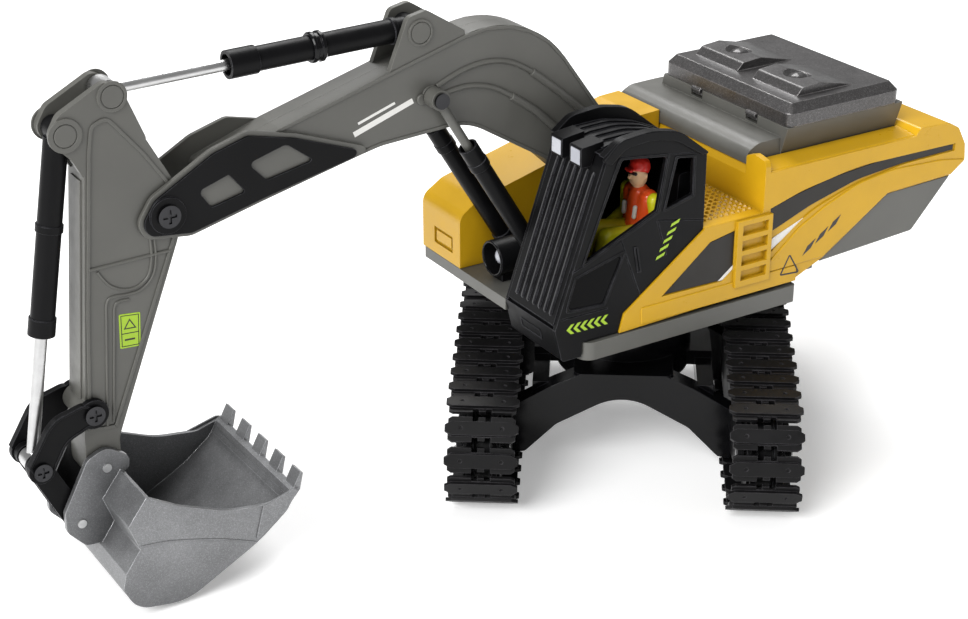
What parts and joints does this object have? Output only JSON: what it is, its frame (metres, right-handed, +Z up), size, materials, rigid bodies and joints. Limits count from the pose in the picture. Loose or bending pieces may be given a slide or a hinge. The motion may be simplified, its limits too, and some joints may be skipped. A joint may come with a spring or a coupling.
{
  "type": "toy excavator",
  "caption": "Toy tracked excavator: swinging upper body with cab and driver, boom, stick and toothed bucket with telescoping cylinders, and a lidded battery bay.",
  "frame": {"origin": "on the ground, on the axis that the upper structure swings about", "axes": "+X forward, the way the boom points at rest; +Y left, the cab side; +Z up. The undercarriage stands turned 54.5 degrees about +Z at rest"},
  "size_m": [0.4792, 0.2693, 0.2358],
  "materials": {
    "yellow_plastic": "satin moulded, warm yellow",
    "grey_plastic": "satin moulded, olive grey",
    "black_plastic": "satin moulded, black",
    "gloss_black": "glossy moulded, black",
    "track_plastic": "satin moulded, black",
    "bucket_plastic": "speckled silver grey",
    "cover_plastic": "dark metallic speckle",
    "steel_rod": "polished",
    "dark_screw": "black oxide",
    "pin_steel": "bright",
    "lens_plastic": "milky lens",
    "figure_plastic": "painted toy figure",
    "white_plastic": "moulded gear white",
    "motor_steel": "can motor",
    "board_green": "circuit board",
    "cell_wrap": "battery wrap"
  },
  "bodies": {
    "undercarriage": {"chassis_frame": "gloss_black", "belly_cover": "black_plastic", "track_frame_left": "black_plastic", "track_frame_right": "black_plastic", "track_links_left": "track_plastic", "track_links_right": "track_plastic", "drive_motors": "motor_steel", "axle_pins": "pin_steel", "undercarriage_screws": "dark_screw"},
    "power_switch": {"power_switch": "black_plastic"},
    "house": {"deck": "grey_plastic", "left_body_shell": "yellow_plastic", "right_body_shell": "yellow_plastic", "hood_cover": "grey_plastic", "battery_pack": "cell_wrap", "counterweight": "grey_plastic", "side_rails": "grey_plastic", "cab_shell": "black_plastic", "cab_front_grille": "black_plastic", "cab_roof": "black_plastic", "lamp_lenses": "lens_plastic", "seat": "black_plastic", "control_levers": "black_plastic", "driver": "figure_plastic", "headlight_tube": "black_plastic", "circuit_board": "board_green", "swing_motor": "motor_steel", "house_pins": "dark_screw", "house_screws": "dark_screw"},
    "battery_cover": {"battery_cover": "cover_plastic"},
    "swing_pinion": {"swing_pinion": "white_plastic"},
    "boom": {"boom_left_half": "grey_plastic", "boom_right_half": "grey_plastic", "tip_cover_plates": "black_plastic", "boom_pins": "dark_screw"},
    "boom_barrels": {"boom_cylinder_barrels": "black_plastic"},
    "boom_rods": {"boom_cylinder_rods": "grey_plastic"},
    "arm_barrel": {"arm_cylinder_barrel": "black_plastic"},
    "arm_rod": {"arm_cylinder_rod": "steel_rod"},
    "stick": {"stick": "grey_plastic", "stick_pins": "dark_screw"},
    "bucket_barrel": {"bucket_cylinder_barrel": "black_plastic"},
    "bucket_rod": {"bucket_cylinder_rod": "steel_rod"},
    "rocker": {"rocker_levers": "black_plastic", "rocker_pins": "dark_screw"},
    "link": {"bucket_link": "black_plastic"},
    "bucket": {"bucket": "bucket_plastic", "bucket_pins": "pin_steel"},
    "sprocket_left": {"sprocket_left": "black_plastic"},
    "idler_left": {"idler_left": "black_plastic"},
    "road_roller_front_left": {"road_roller_front_left": "black_plastic"},
    "road_roller_rear_left": {"road_roller_rear_left": "black_plastic"},
    "carrier_roller_left": {"carrier_roller_left": "black_plastic"},
    "motor_pinion_left": {"motor_pinion_left": "white_plastic"},
    "sprocket_right": {"sprocket_right": "black_plastic"},
    "idler_right": {"idler_right": "black_plastic"},
    "road_roller_front_right": {"road_roller_front_right": "black_plastic"},
    "road_roller_rear_right": {"road_roller_rear_right": "black_plastic"},
    "carrier_roller_right": {"carrier_roller_right": "black_plastic"},
    "motor_pinion_right": {"motor_pinion_right": "white_plastic"}
  },
  "joints": [
    {"name": "house_swing", "type": "hinge", "parent": "undercarriage", "child": "house", "pos_m": [0, 0, 0.0942], "axis": [0, 0, 1], "continuous": true},
    {"name": "swing_pinion_spin", "type": "hinge", "parent": "house", "child": "swing_pinion", "pos_m": [-0.01804, 0.01773, 0.0686], "axis": [0, 0, 1], "continuous": true},
    {"name": "boom_lift", "type": "hinge", "parent": "house", "child": "boom", "pos_m": [-0.01, -0.004, 0.112], "axis": [0, -1, 0], "range_deg": [-9, 12]},
    {"name": "boom_barrel_tilt", "type": "hinge", "parent": "house", "child": "boom_barrels", "pos_m": [0.0545, -0.004, 0.101], "axis": [0, -1, 0], "range_deg": [-11.3, 14.8]},
    {"name": "boom_rod_tilt", "type": "hinge", "parent": "boom", "child": "boom_rods", "pos_m": [0.1135, -0.004, 0.197], "axis": [0, -1, 0], "range_deg": [-2.3, 2.8]},
    {"name": "stick_swing", "type": "hinge", "parent": "boom", "child": "stick", "pos_m": [0.2425, -0.004, 0.1695], "axis": [0, -1, 0], "range_deg": [-18, 18]},
    {"name": "arm_barrel_tilt", "type": "hinge", "parent": "boom", "child": "arm_barrel", "pos_m": [0.1185, -0.004, 0.2265], "axis": [0, -1, 0], "range_deg": [-2.7, 2.7]},
    {"name": "arm_rod_tilt", "type": "hinge", "parent": "stick", "child": "arm_rod", "pos_m": [0.261, -0.004, 0.2236], "axis": [0, -1, 0], "range_deg": [-16.3, 16.3]},
    {"name": "bucket_curl", "type": "hinge", "parent": "stick", "child": "bucket", "pos_m": [0.2785, -0.004, 0.06], "axis": [0, -1, 0], "range_deg": [-10, 40]},
    {"name": "rocker_swing", "type": "hinge", "parent": "stick", "child": "rocker", "pos_m": [0.282, -0.004, 0.087], "axis": [0, -1, 0], "range_deg": [-8.3, 31.7]},
    {"name": "link_swing", "type": "hinge", "parent": "rocker", "child": "link", "pos_m": [0.307, -0.004, 0.067], "axis": [0, -1, 0], "range_deg": [-21.8, 5.8]},
    {"name": "bucket_barrel_tilt", "type": "hinge", "parent": "stick", "child": "bucket_barrel", "pos_m": [0.282, -0.004, 0.211], "axis": [0, -1, 0], "range_deg": [-1.6, 4.8]},
    {"name": "bucket_rod_tilt", "type": "hinge", "parent": "rocker", "child": "bucket_rod", "pos_m": [0.307, -0.004, 0.067], "axis": [0, -1, 0], "range_deg": [-27.3, 7.2]},
    {"name": "battery_cover_hinge", "type": "hinge", "parent": "house", "child": "battery_cover", "pos_m": [-0.057, 0, 0.161], "axis": [0, 1, 0], "range_deg": [0, 70]},
    {"name": "power_switch_slide", "type": "slide", "parent": "undercarriage", "child": "power_switch", "axis": [0.5807, 0.8141, 0], "range_m": [0, 0.008]},
    {"name": "sprocket_left_spin", "type": "hinge", "parent": "undercarriage", "child": "sprocket_left", "pos_m": [-0.09775, -0.02424, 0.03035], "axis": [-0.8141, 0.5807, 0], "continuous": true},
    {"name": "idler_left_spin", "type": "hinge", "parent": "undercarriage", "child": "idler_left", "pos_m": [-0.00687, 0.10317, 0.0268], "axis": [-0.8141, 0.5807, 0], "continuous": true},
    {"name": "road_roller_front_left_spin", "type": "hinge", "parent": "undercarriage", "child": "road_roller_front_left", "pos_m": [-0.0359, 0.06246, 0.013], "axis": [-0.8141, 0.5807, 0], "continuous": true},
    {"name": "road_roller_rear_left_spin", "type": "hinge", "parent": "undercarriage", "child": "road_roller_rear_left", "pos_m": [-0.06842, 0.01687, 0.013], "axis": [-0.8141, 0.5807, 0], "continuous": true},
    {"name": "carrier_roller_left_spin", "type": "hinge", "parent": "undercarriage", "child": "carrier_roller_left", "pos_m": [-0.051, 0.04129, 0.0478], "axis": [-0.8141, 0.5807, 0], "continuous": true},
    {"name": "motor_pinion_left_spin", "type": "hinge", "parent": "undercarriage", "child": "motor_pinion_left", "pos_m": [-0.08834, -0.01106, 0.03035], "axis": [-0.8141, 0.5807, 0], "continuous": true},
    {"name": "sprocket_right_spin", "type": "hinge", "parent": "undercarriage", "child": "sprocket_right", "pos_m": [0.0089, -0.10032, 0.03035], "axis": [-0.8141, 0.5807, 0], "continuous": true},
    {"name": "idler_right_spin", "type": "hinge", "parent": "undercarriage", "child": "idler_right", "pos_m": [0.09978, 0.02709, 0.0268], "axis": [-0.8141, 0.5807, 0], "continuous": true},
    {"name": "road_roller_front_right_spin", "type": "hinge", "parent": "undercarriage", "child": "road_roller_front_right", "pos_m": [0.07075, -0.01361, 0.013], "axis": [-0.8141, 0.5807, 0], "continuous": true},
    {"name": "road_roller_rear_right_spin", "type": "hinge", "parent": "undercarriage", "child": "road_roller_rear_right", "pos_m": [0.03823, -0.0592, 0.013], "axis": [-0.8141, 0.5807, 0], "continuous": true},
    {"name": "carrier_roller_right_spin", "type": "hinge", "parent": "undercarriage", "child": "carrier_roller_right", "pos_m": [0.05565, -0.03478, 0.0478], "axis": [-0.8141, 0.5807, 0], "continuous": true},
    {"name": "motor_pinion_right_spin", "type": "hinge", "parent": "undercarriage", "child": "motor_pinion_right", "pos_m": [0.01831, -0.08713, 0.03035], "axis": [-0.8141, 0.5807, 0], "continuous": true}
  ],
  "couplings": [
    {"joint": "swing_pinion_spin", "follows": "house_swing", "ratio": 4},
    {"joint": "boom_barrel_tilt", "follows": "boom_lift", "ratio": 1.195},
    {"joint": "boom_rod_tilt", "follows": "boom_lift", "ratio": 0.195},
    {"joint": "arm_barrel_tilt", "follows": "stick_swing", "ratio": 0.1207},
    {"joint": "arm_rod_tilt", "follows": "stick_swing", "ratio": -0.8793},
    {"joint": "rocker_swing", "follows": "bucket_curl", "ratio": 0.779},
    {"joint": "link_swing", "follows": "bucket_curl", "ratio": -0.5317},
    {"joint": "bucket_barrel_tilt", "follows": "bucket_curl", "ratio": 0.1083},
    {"joint": "bucket_rod_tilt", "follows": "bucket_curl", "ratio": -0.6707},
    {"joint": "idler_left_spin", "follows": "sprocket_left_spin", "ratio": 1.1793},
    {"joint": "road_roller_front_left_spin", "follows": "sprocket_left_spin", "ratio": 4.245},
    {"joint": "road_roller_rear_left_spin", "follows": "sprocket_left_spin", "ratio": 4.245},
    {"joint": "carrier_roller_left_spin", "follows": "sprocket_left_spin", "ratio": 4.67},
    {"joint": "motor_pinion_left_spin", "follows": "sprocket_left_spin", "ratio": -3},
    {"joint": "idler_right_spin", "follows": "sprocket_right_spin", "ratio": 1.1793},
    {"joint": "road_roller_front_right_spin", "follows": "sprocket_right_spin", "ratio": 4.245},
    {"joint": "road_roller_rear_right_spin", "follows": "sprocket_right_spin", "ratio": 4.245},
    {"joint": "carrier_roller_right_spin", "follows": "sprocket_right_spin", "ratio": 4.67},
    {"joint": "motor_pinion_right_spin", "follows": "sprocket_right_spin", "ratio": -3}
  ]
}
